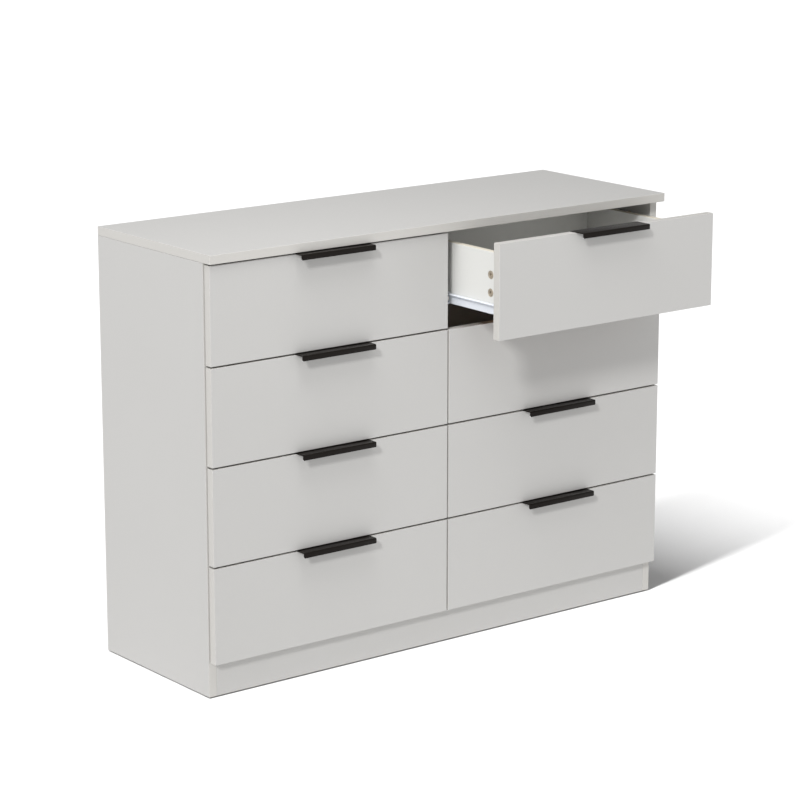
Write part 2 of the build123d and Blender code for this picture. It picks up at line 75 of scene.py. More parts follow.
# Boards by the axis that their wide faces look along
UPRIGHT_BOARDS = ["left_side_panel", "right_side_panel", "centre_divider", "centre_foot"]
LEVEL_BOARDS = ["top_panel", "bottom_panel"]
FACING_BOARDS = ["plinth"] + [f"{drawer}_front" for drawer in DRAWERS]

UP = Vector((0, 0, 1))
DOWN = Vector((0, 0, -1))
LEFT = Vector((-1, 0, 0))
RIGHT = Vector((1, 0, 0))
FORWARD = Vector((0, -1, 0))
BACKWARD = Vector((0, 1, 0))

# Sockets that share a name with others on their node, by their places
COLOUR_A, COLOUR_B, COLOUR_OUT = 6, 7, 2  # on a Mix node
WHOLE_A, WHOLE_B = 2, 3  # on a Compare node

# How finely the pieces are made
SEGMENTS = 32  # sides of each turned fastener
FOLD_STEPS = 6  # facets of each fold of a pull
CORNER_STEPS = 5  # facets of each rounded corner of a pull
EDGE_STEPS = 2  # facets of each deburred edge of a pull
SMOOTH_BELOW = math.radians(35)  # faces that meet at less than this are shaded as one
DEBURR_ABOVE = math.radians(40)  # edges sharper than this are deburred
NEAR = 0.05 * MM  # places closer than this count as one
MERGE = 0.01 * MM  # points closer than this are merged

# Studio
GLIDE_HEIGHT = 2.2 * MM  # gap between the boards' feet and the paper, for a dark contact line
STRIP_ELEVATIONS = [math.radians(step) for step in range(45, 85, 2)]  # one for each of its suns
STRIP_SPREAD = math.radians(3.2)
KEY_SPREAD = math.radians(8)
OVERHEAD_ELEVATION = math.radians(80)
OVERHEAD_SPREAD = math.radians(45)
FILL_AZIMUTH = math.radians(40)
FILL_ELEVATION = math.radians(20)
FILL_SPREAD = math.radians(60)
SOFTBOX_SIDE = 0.8  # metres
SENSOR_MM = 36
FAR_CLIP = 200  # metres

# Shapes of the fasteners, as shares of their reach
OWN_SIZE = (1, 1, 1)  # the stretch of a model that keeps its size
HALF_ARM = 0.26  # half the width of a cross drive's arm
FLUTE_DEPTH = 0.06

# Sizes of the fasteners and lengths of the screws, in millimetres
CAM_DEPTH = 12.5
DRAWER_CAM_DEPTH = 10
DOWEL_LENGTH = 30
SCREW_RADIUS = 1.75
BOLT_RADIUS = 3
BOLT_BITE = 11
NECK_RADIUS = 2.5
NECK = 26.5
DRAWER_NECK = 23.5
CORNER_SCREW = 32
RUNNER_SCREW = 8.2
PULL_SCREW = 8.5
DECK_SCREW = 47.8
BACK_SCREW = 10

# Where the fasteners stand, and the thickness of what they go through, in metres
CAM_SETBACK = 34 * MM
CAM_PLACES = (57 * MM, 263 * MM)
DRAWER_BOARD = 12 * MM
DRAWER_CAM_SETBACK = 31 * MM
DRAWER_CAM_RISES = (36.5 * MM, 68.5 * MM)
CORNER_SCREW_RISES = (30 * MM, 85 * MM)
RISER_SCREW_PLACES = (40 * MM, 250 * MM)
STEEL = 1.2 * MM
RUNNER_SPACE = 12.5 * MM
RUNNER_SCREW_PLACES = (37 * MM, 229 * MM)
ROLLER_RISE = 8.75 * MM
PULL_SCREW_SPACING = 128 * MM
PULL_SCREW_DROP = 15.5 * MM
HEAD_HEIGHT = 2.2 * MM
DECK_SCREW_PLACES = (40 * MM, 150 * MM, 250 * MM)
BACK_SCREW_XS = (-320 * MM, -160 * MM, 160 * MM, 320 * MM)
BACK_SCREW_ZS = (180 * MM, 400 * MM, 620 * MM)
DOWEL_BITE = 10 * MM
DOWEL_PLACES = (25 * MM, 231 * MM)
PLINTH_DOWEL_RISES = (18 * MM, 44 * MM)


# --- Small tools ---
def linear(hex_colour):
    """An sRGB hex colour as the linear RGBA that a shader takes."""
    channels = [int(hex_colour[place:place + 2], 16) / 255 for place in (1, 3, 5)]
    return [c / 12.92 if c <= 0.04045 else ((c + 0.055) / 1.055) ** 2.4 for c in channels] + [1.0]


def per_metre(period_mm):
    """A texture scale whose features are this many millimetres apart."""
    return 1 / (period_mm * MM)


def add_node(tree, kind, inputs=None, **settings):
    """Add a node with its settings; each input takes a value or another node's output."""
    node = tree.nodes.new(kind)
    for name, value in settings.items():
        setattr(node, name, value)
    for name, value in (inputs or {}).items():
        if isinstance(value, bpy.types.NodeSocket):
            tree.links.new(value, node.inputs[name])
        else:
            node.inputs[name].default_value = value
    return node


def start_material(name):
    """A new material with its tree, its Principled shader and its texture coordinates."""
    material = bpy.data.materials.new(name)
    material.use_nodes = True
    tree = material.node_tree
    place = add_node(tree, "ShaderNodeTexCoord")
    return material, tree, tree.nodes["Principled BSDF"], place


def set_inputs(node, values):
    """Set a node's own sockets to plain values."""
    for name, value in values.items():
        node.inputs[name].default_value = value


def finish_node(node_name, material):
    """Give a CAD node one material in every slot."""
    mesh = frame["nodes"][node_name].data
    if not mesh.materials:
        mesh.materials.append(material)
    for slot in range(len(mesh.materials)):
        mesh.materials[slot] = material


def new_object(name, mesh=None):
    """An object at the origin, in the scene."""
    made = bpy.data.objects.new(name, mesh or bpy.data.meshes.new(name))
    bpy.context.scene.collection.objects.link(made)
    return made


def add_tree(piece, tree, values):
    """Put a geometry tree on a piece, with its inputs set by their sockets' identifiers."""
    modifier = piece.modifiers.new(tree.name, "NODES")
    modifier.node_group = tree
    for item in tree.interface.items_tree:
        if item.in_out == "INPUT" and item.name in values:
            modifier[item.identifier] = values[item.name]
    return modifier


def smooth(piece):
    """Shade a piece smooth, except at its sharp edges."""
    piece.data.shade_smooth()
    piece.data.set_sharp_from_angle(angle=SMOOTH_BELOW)


def freeze(piece):
    """Swap a piece's live modifiers for the plain mesh that they make, facing outwards."""
    bpy.context.view_layer.update()
    graph = bpy.context.evaluated_depsgraph_get()
    mesh = bpy.data.meshes.new_from_object(piece.evaluated_get(graph))
    piece.modifiers.clear()
    piece.data = mesh
    shape = bmesh.new()
    shape.from_mesh(mesh)
    bmesh.ops.recalc_face_normals(shape, faces=shape.faces)
    shape.to_mesh(mesh)
    shape.free()
    return piece


# --- Materials ---
def melamine(name, settings, face_colour, band_colour, band_test):
    """Melamine-faced chipboard, pressed against a pearl plate, with banding on its edges.

    The facing is a printed paper under hard resin: an even tone, a faint cloud in the print and a
    satin gloss broken up by the plate's fine pearl. band_test gives the axis and the comparison
    of the surface normal that pick out the banded edges.
    """
    axis, operation, threshold = band_test
    material, tree, shader, place = start_material(name)
    cloud = add_node(tree, "ShaderNodeTexNoise", {
        "Vector": place.outputs["Object"], "Scale": per_metre(settings.cloud_mm), "Detail": 4.0,
        "Roughness": 0.6})
    # The pearl is about 0.4 mm on a real board; it is drawn coarser, so that it shows
    pearl = add_node(tree, "ShaderNodeTexNoise", {
        "Vector": place.outputs["Object"], "Scale": per_metre(settings.pearl_mm), "Detail": 2.0,
        "Roughness": 0.7})
    normal = add_node(tree, "ShaderNodeSeparateXYZ", {"Vector": place.outputs["Normal"]})
    sign_free = add_node(tree, "ShaderNodeMath", {0: normal.outputs[axis]}, operation="ABSOLUTE")
    source = sign_free.outputs[0] if operation == "LESS_THAN" else normal.outputs[axis]
    band = add_node(tree, "ShaderNodeMath", {0: source, 1: threshold}, operation=operation)
    light = list(face_colour)
    dark = [channel * (1 - settings.cloud_depth) for channel in light[:3]] + [1.0]
    facing = add_node(tree, "ShaderNodeMix", {
        "Factor": cloud.outputs["Fac"], COLOUR_A: dark, COLOUR_B: light}, data_type="RGBA")
    fleck = add_node(tree, "ShaderNodeMapRange", {
        "Value": pearl.outputs["Fac"], "From Min": 0.3, "From Max": 0.7, "To Min": 0.985,
        "To Max": 1.01})
    printed = add_node(tree, "ShaderNodeVectorMath", {
        0: facing.outputs[COLOUR_OUT], "Scale": fleck.outputs["Result"]}, operation="SCALE")
    surface = add_node(tree, "ShaderNodeMix", {
        "Factor": band.outputs[0], COLOUR_A: printed.outputs[0], COLOUR_B: list(band_colour)},
        data_type="RGBA")
    gloss = add_node(tree, "ShaderNodeMapRange", {
        "Value": pearl.outputs["Fac"], "From Min": 0.3, "From Max": 0.7,
        "To Min": settings.roughness - 0.05, "To Max": settings.roughness + 0.05})
    relief = add_node(tree, "ShaderNodeBump", {
        "Height": pearl.outputs["Fac"], "Strength": 0.12, "Distance": 0.05 * MM})
    tree.links.new(surface.outputs[COLOUR_OUT], shader.inputs["Base Color"])
    tree.links.new(gloss.outputs["Result"], shader.inputs["Roughness"])
    tree.links.new(relief.outputs["Normal"], shader.inputs["Normal"])
    set_inputs(shader, {"IOR": 1.5})
    return material


def hardboard(name, face_colour, axis, operation, threshold):
    """Thin hardboard: lacquered on its good face, bare brown fibre on the other and its edges."""
    material, tree, shader, place = start_material(name)
    # The pressed fibres are about 1 mm; they are drawn coarser, so that they show
    fibre = add_node(tree, "ShaderNodeTexNoise", {
        "Vector": place.outputs["Object"], "Scale": per_metre(4), "Detail": 5.0, "Roughness": 0.7,
        "Distortion": 0.8})
    mottle = add_node(tree, "ShaderNodeTexNoise", {
        "Vector": place.outputs["Object"], "Scale": per_metre(60), "Detail": 3.0})
    normal = add_node(tree, "ShaderNodeSeparateXYZ", {"Vector": place.outputs["Normal"]})
    lacquered = add_node(tree, "ShaderNodeMath", {0: normal.outputs[axis], 1: threshold},
                         operation=operation)
    fibres = add_node(tree, "ShaderNodeMix", {
        "Factor": fibre.outputs["Fac"], COLOUR_A: linear("#5C4230"), COLOUR_B: linear("#A07B5A")},
        data_type="RGBA")
    patch = add_node(tree, "ShaderNodeMapRange", {
        "Value": mottle.outputs["Fac"], "From Min": 0.35, "From Max": 0.65, "To Max": 0.6})
    brown = add_node(tree, "ShaderNodeMix", {
        "Factor": patch.outputs["Result"], COLOUR_A: fibres.outputs[COLOUR_OUT],
        COLOUR_B: linear("#8C6A4C")}, data_type="RGBA")
    surface = add_node(tree, "ShaderNodeMix", {
        "Factor": lacquered.outputs[0], COLOUR_A: brown.outputs[COLOUR_OUT],
        COLOUR_B: list(face_colour)}, data_type="RGBA")
    gloss = add_node(tree, "ShaderNodeMapRange", {
        "Value": lacquered.outputs[0], "To Min": 0.75, "To Max": 0.45})
    relief = add_node(tree, "ShaderNodeBump", {
        "Height": fibre.outputs["Fac"], "Strength": 0.25, "Distance": 0.1 * MM})
    tree.links.new(surface.outputs[COLOUR_OUT], shader.inputs["Base Color"])
    tree.links.new(gloss.outputs["Result"], shader.inputs["Roughness"])
    tree.links.new(relief.outputs["Normal"], shader.inputs["Normal"])
    return material


def coated_steel(name, colour, roughness, gloss_level, peel_mm, peel_strength):
    """Steel under a baked powder or epoxy coat: an even colour and a soft orange-peel skin."""
    material, tree, shader, place = start_material(name)
    peel = add_node(tree, "ShaderNodeTexNoise", {
        "Vector": place.outputs["Object"], "Scale": per_metre(peel_mm), "Detail": 2.0})
    base = list(colour)
    paler = [min(1.0, channel * 1.12 + 0.002) for channel in base[:3]] + [1.0]
    tone = add_node(tree, "ShaderNodeMix", {
        "Factor": peel.outputs["Fac"], COLOUR_A: base, COLOUR_B: paler}, data_type="RGBA")
    gloss = add_node(tree, "ShaderNodeMapRange", {
        "Value": peel.outputs["Fac"], "From Min": 0.3, "From Max": 0.7,
        "To Min": roughness - 0.04, "To Max": roughness + 0.06})
    relief = add_node(tree, "ShaderNodeBump", {
        "Height": peel.outputs["Fac"], "Strength": peel_strength, "Distance": 0.06 * MM})
    tree.links.new(tone.outputs[COLOUR_OUT], shader.inputs["Base Color"])
    tree.links.new(gloss.outputs["Result"], shader.inputs["Roughness"])
    tree.links.new(relief.outputs["Normal"], shader.inputs["Normal"])
    set_inputs(shader, {"IOR": 1.5, "Specular IOR Level": gloss_level})
    return material


def moulded_nylon():
    """Natural nylon, injection moulded: milky, slightly translucent and softly shining."""
    material, tree, shader, place = start_material("moulded nylon")
    flow = add_node(tree, "ShaderNodeTexNoise", {
        "Vector": place.outputs["Object"], "Scale": per_metre(6), "Detail": 2.0})
    gloss = add_node(tree, "ShaderNodeMapRange", {
        "Value": flow.outputs["Fac"], "To Min": 0.38, "To Max": 0.5})
    tone = add_node(tree, "ShaderNodeMix", {
        "Factor": flow.outputs["Fac"], COLOUR_A: linear("#DAD8CE"), COLOUR_B: linear("#E9E8E0")},
        data_type="RGBA")
    tree.links.new(tone.outputs[COLOUR_OUT], shader.inputs["Base Color"])
    tree.links.new(gloss.outputs["Result"], shader.inputs["Roughness"])
    set_inputs(shader, {"IOR": 1.53, "Subsurface Weight": 0.1, "Subsurface Scale": 1.0 * MM})
    return material


def cast_zinc():
    """Die-cast zinc alloy, tumbled and yellow-passivated: a dull warm metal with a fine skin."""
    material, tree, shader, place = start_material("cast zinc")
    skin = add_node(tree, "ShaderNodeTexNoise", {
        "Vector": place.outputs["Object"], "Scale": per_metre(0.9), "Detail": 4.0,
        "Roughness": 0.65})
    tone = add_node(tree, "ShaderNodeMix", {
        "Factor": skin.outputs["Fac"], COLOUR_A: linear("#9C9080"), COLOUR_B: linear("#CFC6B6")},
        data_type="RGBA")
    gloss = add_node(tree, "ShaderNodeMapRange", {
        "Value": skin.outputs["Fac"], "To Min": 0.5, "To Max": 0.7})
    relief = add_node(tree, "ShaderNodeBump", {
        "Height": skin.outputs["Fac"], "Strength": 0.3, "Distance": 0.05 * MM})
    tree.links.new(tone.outputs[COLOUR_OUT], shader.inputs["Base Color"])
    tree.links.new(gloss.outputs["Result"], shader.inputs["Roughness"])
    tree.links.new(relief.outputs["Normal"], shader.inputs["Normal"])
    set_inputs(shader, {"Metallic": 0.75})
    return material


def plated_steel():
    """Zinc-plated steel wire, cold-headed into screws and bolts: bright, finely drawn."""
    material, tree, shader, place = start_material("plated steel")
    skin = add_node(tree, "ShaderNodeTexNoise", {
        "Vector": place.outputs["Object"], "Scale": per_metre(0.6), "Detail": 3.0})
    gloss = add_node(tree, "ShaderNodeMapRange", {
        "Value": skin.outputs["Fac"], "To Min": 0.2, "To Max": 0.38})
    tone = add_node(tree, "ShaderNodeMix", {
        "Factor": skin.outputs["Fac"], COLOUR_A: linear("#A9ABAE"), COLOUR_B: linear("#C6C8CA")},
        data_type="RGBA")
    tree.links.new(tone.outputs[COLOUR_OUT], shader.inputs["Base Color"])
    tree.links.new(gloss.outputs["Result"], shader.inputs["Roughness"])
    set_inputs(shader, {"Metallic": 1.0})
    return material


def turned_beech():
    """Steamed beech, turned and fluted: pinkish brown with short darker flecks."""
    material, tree, shader, place = start_material("turned beech")
    grain = add_node(tree, "ShaderNodeTexNoise", {
        "Vector": place.outputs["Object"], "Scale": per_metre(2), "Detail": 4.0,
        "Distortion": 0.5})
    tone = add_node(tree, "ShaderNodeMix", {
        "Factor": grain.outputs["Fac"], COLOUR_A: linear("#B48A63"), COLOUR_B: linear("#D9B48C")},
        data_type="RGBA")
    tree.links.new(tone.outputs[COLOUR_OUT], shader.inputs["Base Color"])
    set_inputs(shader, {"Roughness": 0.6})
    return material


def studio_floor():
    """A sheet of matt pale paper, swept wide of the chest."""
    material, tree, shader, place = start_material("studio paper")
    tooth = add_node(tree, "ShaderNodeTexNoise", {
        "Vector": place.outputs["Object"], "Scale": per_metre(3), "Detail": 2.0})
    relief = add_node(tree, "ShaderNodeBump", {
        "Height": tooth.outputs["Fac"], "Strength": 0.05, "Distance": 0.1 * MM})
    tree.links.new(relief.outputs["Normal"], shader.inputs["Normal"])
    set_inputs(shader, {"Base Color": linear("#E1E1E1"), "Roughness": 0.95,
                        "Specular IOR Level": 0.1})
    return material


# --- Geometry trees ---
def new_tree(name, floats=()):
    """A geometry tree with a Geometry input and output and these float inputs."""
    tree = bpy.data.node_groups.new(name, "GeometryNodeTree")
    tree.interface.new_socket("Geometry", in_out="INPUT", socket_type="NodeSocketGeometry")
    for title in floats:
        socket = tree.interface.new_socket(title, in_out="INPUT", socket_type="NodeSocketFloat")
        socket.subtype = "DISTANCE"
    tree.interface.new_socket("Geometry", in_out="OUTPUT", socket_type="NodeSocketGeometry")
    return tree, add_node(tree, "NodeGroupInput")


def folded_pull_tree(material):
    """A strip of sheet, folded along the leg, the plate and the lip, and given its thickness."""
    tree, given = new_tree("Folded pull", (
        "Left", "Width", "Back", "Front", "Leg foot", "Plate", "Lip foot", "Sheet", "Bend"))
    corners = []
    route = (("Back", "Leg foot"), ("Back", "Plate"), ("Front", "Plate"), ("Front", "Lip foot"))
    for y, z in route:
        point = add_node(tree, "ShaderNodeCombineXYZ", {
            "X": given.outputs["Left"], "Y": given.outputs[y], "Z": given.outputs[z]})
        corners.append(point.outputs[0])
    outline = add_node(tree, "GeometryNodeCurvePrimitiveQuadrilateral", {
        f"Point {place}": corner for place, corner in enumerate(corners, start=1)}, mode="POINTS")
    opened = add_node(tree, "GeometryNodeSetSplineCyclic", {
        "Geometry": outline.outputs[0], "Cyclic": False})
    bent = add_node(tree, "GeometryNodeFilletCurve", {
        "Curve": opened.outputs[0], "Count": FOLD_STEPS, "Radius": given.outputs["Bend"]},
        mode="POLY")
    line = add_node(tree, "GeometryNodeCurveToMesh", {"Curve": bent.outputs[0]})
    across = add_node(tree, "ShaderNodeCombineXYZ", {"X": given.outputs["Width"]})
    face = add_node(tree, "GeometryNodeExtrudeMesh", {
        "Mesh": line.outputs[0], "Offset": across.outputs[0], "Offset Scale": 1.0}, mode="EDGES")
    # The strip's faces look into the fold, so its thickness goes on against their normals
    outwards = add_node(tree, "ShaderNodeMath", {0: given.outputs["Sheet"], 1: -1.0},
                        operation="MULTIPLY")
    skin = add_node(tree, "GeometryNodeExtrudeMesh", {
        "Mesh": face.outputs[0], "Offset Scale": outwards.outputs[0], "Individual": False},
        mode="FACES")
    inside = add_node(tree, "GeometryNodeFlipFaces", {"Mesh": face.outputs[0]})
    joined = add_node(tree, "GeometryNodeJoinGeometry")
    tree.links.new(skin.outputs[0], joined.inputs[0])
    tree.links.new(inside.outputs[0], joined.inputs[0])
    closed = add_node(tree, "GeometryNodeMergeByDistance", {
        "Geometry": joined.outputs[0], "Distance": MERGE})
    plain = add_node(tree, "GeometryNodeRealizeInstances", {"Geometry": closed.outputs[0]})
    coated = add_node(tree, "GeometryNodeSetMaterial", {
        "Geometry": plain.outputs[0], "Material": material})
    add_node(tree, "NodeGroupOutput", {"Geometry": coated.outputs[0]})
    return tree


def hardware_tree(models):
    """Cam discs, screw heads and rods set on points, each turned to the way its point faces.

    A point's kind says which of the models it takes, its facing is where that model's Z goes, and
    its stretch scales it.
    """
    tree, given = new_tree("Hardware on points")
    kind = add_node(tree, "GeometryNodeInputNamedAttribute", {"Name": "kind"}, data_type="INT")
    facing = add_node(tree, "GeometryNodeInputNamedAttribute", {"Name": "facing"},
                      data_type="FLOAT_VECTOR")
    stretch = add_node(tree, "GeometryNodeInputNamedAttribute", {"Name": "stretch"},
                       data_type="FLOAT_VECTOR")
    turned = add_node(tree, "FunctionNodeAlignRotationToVector", {
        "Vector": facing.outputs["Attribute"]}, axis="Z")
    joined = add_node(tree, "GeometryNodeJoinGeometry")
    for place, (model, material) in enumerate(models):
        chosen = add_node(tree, "FunctionNodeCompare", {
            WHOLE_A: kind.outputs["Attribute"], WHOLE_B: place}, data_type="INT",
            operation="EQUAL")
        shape = add_node(tree, "GeometryNodeObjectInfo", {"Object": model})
        placed = add_node(tree, "GeometryNodeInstanceOnPoints", {
            "Points": given.outputs["Geometry"], "Selection": chosen.outputs[0],
            "Instance": shape.outputs["Geometry"], "Rotation": turned.outputs[0],
            "Scale": stretch.outputs["Attribute"]})
        plain = add_node(tree, "GeometryNodeRealizeInstances", {"Geometry": placed.outputs[0]})
        finished = add_node(tree, "GeometryNodeSetMaterial", {
            "Geometry": plain.outputs[0], "Material": material})
        tree.links.new(finished.outputs[0], joined.inputs[0])
    add_node(tree, "NodeGroupOutput", {"Geometry": joined.outputs[0]})
    return tree


def round_corners(piece, low, high, sheet, radius):
    """Round the sheet's corners, at both ends of the lip's and the leg's free edges."""
    shape = bmesh.new()
    shape.from_mesh(piece.data)
    corners = []
    for edge in shape.edges:
        ends = [vert.co for vert in edge.verts]
        at_end = all(min(abs(end.x - low.x), abs(end.x - high.x)) < NEAR for end in ends)
        level = abs(ends[0].z - ends[1].z) < NEAR
        through = abs(abs(ends[0].y - ends[1].y) - sheet) < NEAR
        if at_end and level and through:
            corners.append(edge)
    bmesh.ops.bevel(shape, geom=corners, offset=radius, segments=CORNER_STEPS, affect="EDGES",
                    profile=0.5)
    shape.to_mesh(piece.data)
    shape.free()


# --- Fastener models ---
def round_edge(turn):
    """The share of a ring's reach at a turn about its axis: the same all round."""
    return 1.0


def cross_edge(turn):
    """The outline of a cross drive, whose arms are about half as wide as they reach."""
    along, across = sorted((abs(math.cos(turn)), abs(math.sin(turn))), reverse=True)
    return min(1 / along, HALF_ARM / max(across, 0.01))


def fluted_edge(turn):
    """The outline of a dowel pressed between fluted rollers."""
    return 1 - FLUTE_DEPTH * (math.cos(turn * SEGMENTS / 2) < 0)


def turned_model(name, rings):
    """A closed skin over rings about Z; each has an outline, a reach and a height in mm."""
    shape = bmesh.new()
    loops = []
    for edge, reach, height in rings:
        turns = [step * math.tau / SEGMENTS for step in range(SEGMENTS)]
        loops.append([shape.verts.new((reach * edge(turn) * math.cos(turn) * MM,
                                       reach * edge(turn) * math.sin(turn) * MM,
                                       height * MM)) for turn in turns])
    for lower, upper in zip(loops, loops[1:]):
        for step in range(SEGMENTS):
            after = (step + 1) % SEGMENTS
            shape.faces.new((lower[step], lower[after], upper[after], upper[step]))
    shape.faces.new(reversed(loops[0]))
    shape.faces.new(loops[-1])
    model = new_object(name)
    shape.to_mesh(model.data)
    shape.free()
    return model


def cam_model(name, depth):
    """A cast cam disc: a rimmed face with a shallow moat round a boss that has a cross drive."""
    return turned_model(name, [
        (round_edge, 6.9, -depth), (round_edge, 7.5, 0.6 - depth), (round_edge, 7.5, -0.5),
        (round_edge, 7.1, -0.1), (round_edge, 5.9, -0.1), (round_edge, 5.6, -0.9),
        (round_edge, 4.9, -0.9), (round_edge, 4.7, -0.3), (round_edge, 4.4, -0.15),
        (round_edge, 3.2, -0.15), (round_edge, 3.0, -3.2), (cross_edge, 2.9, -3.25),
        (cross_edge, 2.0, -6.0)])


def screw_head_model():
    """A pan head with a cross drive, seated at its origin."""
    return turned_model("screw head", [
        (round_edge, 3.2, -0.02), (round_edge, 3.5, 0.25), (round_edge, 3.5, 1.1),
        (round_edge, 3.25, 1.65), (round_edge, 2.8, 2.0), (round_edge, 2.2, 2.18),
        (cross_edge, 1.9, 2.2), (cross_edge, 0.8, 0.9)])


def rod_model():
    """A pin of a millimetre's length and radius with a tapered tip, to be stretched."""
    return turned_model("rod", [
        (round_edge, 1.0, 0.0), (round_edge, 1.0, 0.94), (round_edge, 0.55, 1.0)])


def dowel_model(length):
    """A fluted dowel with broken ends."""
    return turned_model("dowel", [
        (fluted_edge, 3.3, 0.0), (fluted_edge, 4.0, 1.2), (fluted_edge, 4.0, length - 1.2),
        (fluted_edge, 3.3, length)])


def set_on_points(name, points, models):
    """A piece with a model on each point: the model's name, a place, a facing and a stretch."""
    names = [model.name for model, _ in models]
    piece = new_object(name)
    piece.data.from_pydata([place for _, place, _, _ in points], [], [])
    kinds = piece.data.attributes.new("kind", "INT", "POINT")
    kinds.data.foreach_set("value", [names.index(kind) for kind, _, _, _ in points])
    for title, column in (("facing", 2), ("stretch", 3)):
        numbers = [number for point in points for number in point[column]]
        vectors = piece.data.attributes.new(title, "FLOAT_VECTOR", "POINT")
        vectors.data.foreach_set("vector", numbers)
    add_tree(piece, hardware_tree(models), {})
    freeze(piece)
    smooth(piece)
    return piece


def driven_screw(seat, direction, length):
    """The points of a screw: its head seated at a place, its shank running along a direction."""
    return [("screw head", seat, -direction, OWN_SIZE),
            ("rod", seat, direction, (SCREW_RADIUS, SCREW_RADIUS, length))]


def joint_bolt(start, direction, neck):
    """The points of a connecting bolt: its thread runs along the direction and its neck back."""
    return [("rod", start, direction, (BOLT_RADIUS, BOLT_RADIUS, BOLT_BITE)),
            ("rod", start, -direction, (NECK_RADIUS, NECK_RADIUS, neck))]


def drawer_fasteners(drawer):
    """Points for a drawer's cams, bolts and screws."""
    low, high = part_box(f"{drawer}_box")
    pull_low, pull_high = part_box(f"{drawer}_pull")
    points = []
    for face_x, out in ((low.x, LEFT), (high.x, RIGHT)):
        middle_x = face_x - out.x * DRAWER_BOARD / 2
        for rise in DRAWER_CAM_RISES:
            points.append(("drawer cam", (face_x, low.y + DRAWER_CAM_SETBACK, low.z + rise),
                           out, OWN_SIZE))
            points += joint_bolt((middle_x, low.y, low.z + rise), FORWARD, DRAWER_NECK)
        for rise in CORNER_SCREW_RISES:
            points += driven_screw((face_x, high.y - DRAWER_BOARD / 2, low.z + rise), -out,
                                   CORNER_SCREW)
        for place in RISER_SCREW_PLACES:
            points += driven_screw((middle_x, low.y + place, low.z - STEEL), UP, RUNNER_SCREW)
        pull_x = (pull_low.x + pull_high.x) / 2 + out.x * PULL_SCREW_SPACING / 2
        points += driven_screw((pull_x, pull_high.y, pull_high.z - PULL_SCREW_DROP), FORWARD,
                               PULL_SCREW)
    return points


def carcass_fasteners():
    """Points for the carcass's cams and bolts and for its boards' and runners' screws."""
    left_low, left_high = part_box("left_side_panel")
    top_low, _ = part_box("top_panel")
    divider_low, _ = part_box("centre_divider")
    deck_low, deck_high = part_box("bottom_panel")
    _, back_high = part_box("back_panel")
    front_y = divider_low.y
    side_middle = -(left_low.x + left_high.x) / 2
    deck_middle = (deck_low.z + deck_high.z) / 2
    cam_z = top_low.z - CAM_SETBACK
    points = []
    for y in (front_y + place for place in CAM_PLACES):
        for x in (-side_middle, 0, side_middle):
            points += joint_bolt((x, y, top_low.z), UP, NECK)
        points.append(("carcass cam", (divider_low.x, y, cam_z), LEFT, OWN_SIZE))
        for end_x, out in ((deck_low.x, LEFT), (deck_high.x, RIGHT)):
            points.append(("carcass cam", (end_x, y, cam_z), -out, OWN_SIZE))
            points.append(("carcass cam", (end_x - out.x * CAM_SETBACK, y, deck_low.z),
                           DOWN, OWN_SIZE))
            points += joint_bolt((end_x, y, deck_middle), out, NECK)
    for place in DECK_SCREW_PLACES:
        points += driven_screw((0, front_y + place, deck_low.z + HEAD_HEIGHT), UP, DECK_SCREW)
    for x in BACK_SCREW_XS:
        points += driven_screw((x, back_high.y, deck_middle), FORWARD, BACK_SCREW)
    for z in BACK_SCREW_ZS:
        points += driven_screw((0, back_high.y, z), FORWARD, BACK_SCREW)
    for drawer in DRAWERS:
        low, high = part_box(f"{drawer}_box")
        for face_x, out in ((low.x, LEFT), (high.x, RIGHT)):
            web_x = face_x + out.x * (RUNNER_SPACE - STEEL)
            for place in RUNNER_SCREW_PLACES:
                points += driven_screw((web_x, front_y + place, low.z + ROLLER_RISE), out,
                                       RUNNER_SCREW)
    return points


def carcass_dowels():
    """Points for the dowels that locate the top, the bottom, the plinth and the centre foot."""
    left_low, left_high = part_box("left_side_panel")
    top_low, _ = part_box("top_panel")
    deck_low, deck_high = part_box("bottom_panel")
    plinth_low, plinth_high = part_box("plinth")
    side_middle = -(left_low.x + left_high.x) / 2
    points = []
    for rise in PLINTH_DOWEL_RISES:
        points.append(("dowel", (0, plinth_high.y - DOWEL_BITE, rise), BACKWARD, OWN_SIZE))
    for end_x, out in ((deck_low.x, LEFT), (deck_high.x, RIGHT)):
        start_x = end_x + out.x * DOWEL_BITE
        for rise in PLINTH_DOWEL_RISES:
            middle_y = (plinth_low.y + plinth_high.y) / 2
            points.append(("dowel", (start_x, middle_y, rise), -out, OWN_SIZE))
        for place in DOWEL_PLACES:
            y = plinth_low.y + place
            points.append(("dowel", (start_x, y, (deck_low.z + deck_high.z) / 2), -out, OWN_SIZE))
            points.append(("dowel", (out.x * side_middle, y, top_low.z + DOWEL_BITE),
                           DOWN, OWN_SIZE))
    return points


# --- Studio ---
def white_surround(strength):
    """A world that is white to look at and shines evenly with a strength."""
    world = bpy.data.worlds.new("white surround")
    world.use_nodes = True
    tree = world.node_tree
    tree.nodes.clear()
    path = add_node(tree, "ShaderNodeLightPath")
    shining = add_node(tree, "ShaderNodeBackground", {
        "Color": linear("#FFFFFF"), "Strength": strength})
    seen = add_node(tree, "ShaderNodeBackground", {"Color": linear("#FFFFFF"), "Strength": 1.0})
    chosen = add_node(tree, "ShaderNodeMixShader", {
        "Fac": path.outputs["Is Camera Ray"], 1: shining.outputs[0], 2: seen.outputs[0]})
    add_node(tree, "ShaderNodeOutputWorld", {"Surface": chosen.outputs[0]})
    return world


def add_lamp(name, kind, strength):
    """A lamp in the scene, not yet turned or placed."""
    data = bpy.data.lights.new(name, kind)
    data.energy = strength
    lamp = bpy.data.objects.new(name, data)
    bpy.context.scene.collection.objects.link(lamp)
    return lamp


